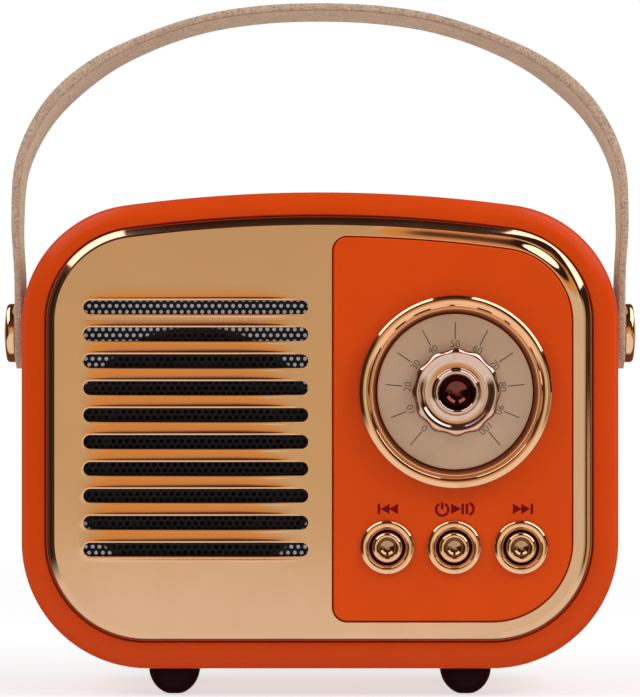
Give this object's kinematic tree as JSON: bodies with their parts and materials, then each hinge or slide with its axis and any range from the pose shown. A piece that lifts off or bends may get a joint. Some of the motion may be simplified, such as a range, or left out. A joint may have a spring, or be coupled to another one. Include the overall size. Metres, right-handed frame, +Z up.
{
  "type": "portable radio",
  "caption": "Small rounded retro portable radio with a slotted plated front, dial panel, push buttons, dome feet and a leather carrying strap.",
  "frame": {"origin": "on the surface the feet stand on, under the middle of the object's bounding box", "axes": "+Z up, the front with the dial faces -Y, +X to the right as seen from the front"},
  "size_m": [0.1066, 0.0584, 0.1154],
  "materials": {
    "orange_case": "semi-gloss moulded plastic with a very fine texture",
    "plated_metal": "polished rose-gold plating",
    "dial_metal": "satin champagne face with printed scale",
    "strap_leather": "smooth taupe leather with raw fibrous edges",
    "foot_rubber": "moulded dark rubber",
    "black_metal": "black powder coat",
    "baffle_plastic": "pale moulded plastic",
    "steel": "bright zinc-plated steel",
    "copper": "enamelled copper winding",
    "ferrite": "sintered ferrite",
    "cone_paper": "pressed black paper",
    "surround_rubber": "soft rubber roll",
    "spider_cloth": "resin-treated corrugated cloth",
    "gasket_foam": "pressed foam ring",
    "circuit_board": "green solder mask over glass-fibre board",
    "black_plastic": "moulded black plastic",
    "battery_can": "shrink sleeve over a cylindrical can",
    "red_wire": "insulated wire",
    "black_wire": "insulated wire"
  },
  "bodies": {
    "radio_body": {"case_shell": "orange_case", "rear_cover": "orange_case", "rear_screw_lower_left": "steel", "rear_screw_lower_right": "steel", "rear_screw_upper_left": "steel", "rear_screw_upper_right": "steel", "front_bezel": "plated_metal", "grille_mesh": "black_metal", "speaker_baffle": "baffle_plastic", "control_panel": "orange_case", "dial_ring": "plated_metal", "dial_face": "dial_metal", "volume_pot": "steel", "button_ring_previous": "plated_metal", "tact_switch_previous": "black_plastic", "button_ring_play": "plated_metal", "tact_switch_play": "black_plastic", "button_ring_next": "plated_metal", "tact_switch_next": "black_plastic", "control_board": "circuit_board", "speaker_frame": "black_metal", "speaker_gasket": "gasket_foam", "speaker_surround": "surround_rubber", "speaker_spider": "spider_cloth", "speaker_top_plate": "steel", "speaker_magnet": "ferrite", "speaker_yoke": "steel", "main_board": "circuit_board", "wireless_module": "steel", "usb_port": "steel", "aux_jack": "black_plastic", "battery_cell": "battery_can", "battery_cradle": "black_plastic", "foot_front_left": "foot_rubber", "foot_front_right": "foot_rubber", "foot_rear_left": "foot_rubber", "foot_rear_right": "foot_rubber", "strap_washer_left": "plated_metal", "strap_screw_left": "plated_metal", "strap_nut_left": "steel", "strap_washer_right": "plated_metal", "strap_screw_right": "plated_metal", "strap_nut_right": "steel", "speaker_wire_red": "red_wire", "speaker_wire_black": "black_wire", "battery_wire_red": "red_wire", "battery_wire_black": "black_wire"},
    "carry_strap": {"strap": "strap_leather"},
    "knob": {"tuning_knob": "plated_metal", "knob_insert": "plated_metal", "pot_shaft": "steel"},
    "previous_button": {"button_cap_previous": "plated_metal", "switch_plunger_previous": "black_plastic"},
    "play_button": {"button_cap_play": "plated_metal", "switch_plunger_play": "black_plastic"},
    "next_button": {"button_cap_next": "plated_metal", "switch_plunger_next": "black_plastic"},
    "cone": {"speaker_cone": "cone_paper", "dust_cap": "cone_paper", "voice_coil": "copper"}
  },
  "joints": [
    {"name": "strap_swing", "type": "hinge", "parent": "radio_body", "child": "carry_strap", "pos_m": [0, 0.00465, 0.05965], "axis": [1, 0, 0], "range_deg": [-110, 120]},
    {"name": "knob_turn", "type": "hinge", "parent": "radio_body", "child": "knob", "pos_m": [0.02205, -0.025, 0.05], "axis": [0, 1, 0], "range_deg": [-140, 140]},
    {"name": "previous_press", "type": "slide", "parent": "radio_body", "child": "previous_button", "axis": [0, 1, 0], "range_m": [0, 0.0005], "stiffness_N_per_m": 400},
    {"name": "play_press", "type": "slide", "parent": "radio_body", "child": "play_button", "axis": [0, 1, 0], "range_m": [0, 0.0005], "stiffness_N_per_m": 400},
    {"name": "next_press", "type": "slide", "parent": "radio_body", "child": "next_button", "axis": [0, 1, 0], "range_m": [0, 0.0005], "stiffness_N_per_m": 400},
    {"name": "cone_travel", "type": "slide", "parent": "radio_body", "child": "cone", "axis": [0, -1, 0], "range_m": [-0.0004, 0.0004], "stiffness_N_per_m": 1000}
  ]
}
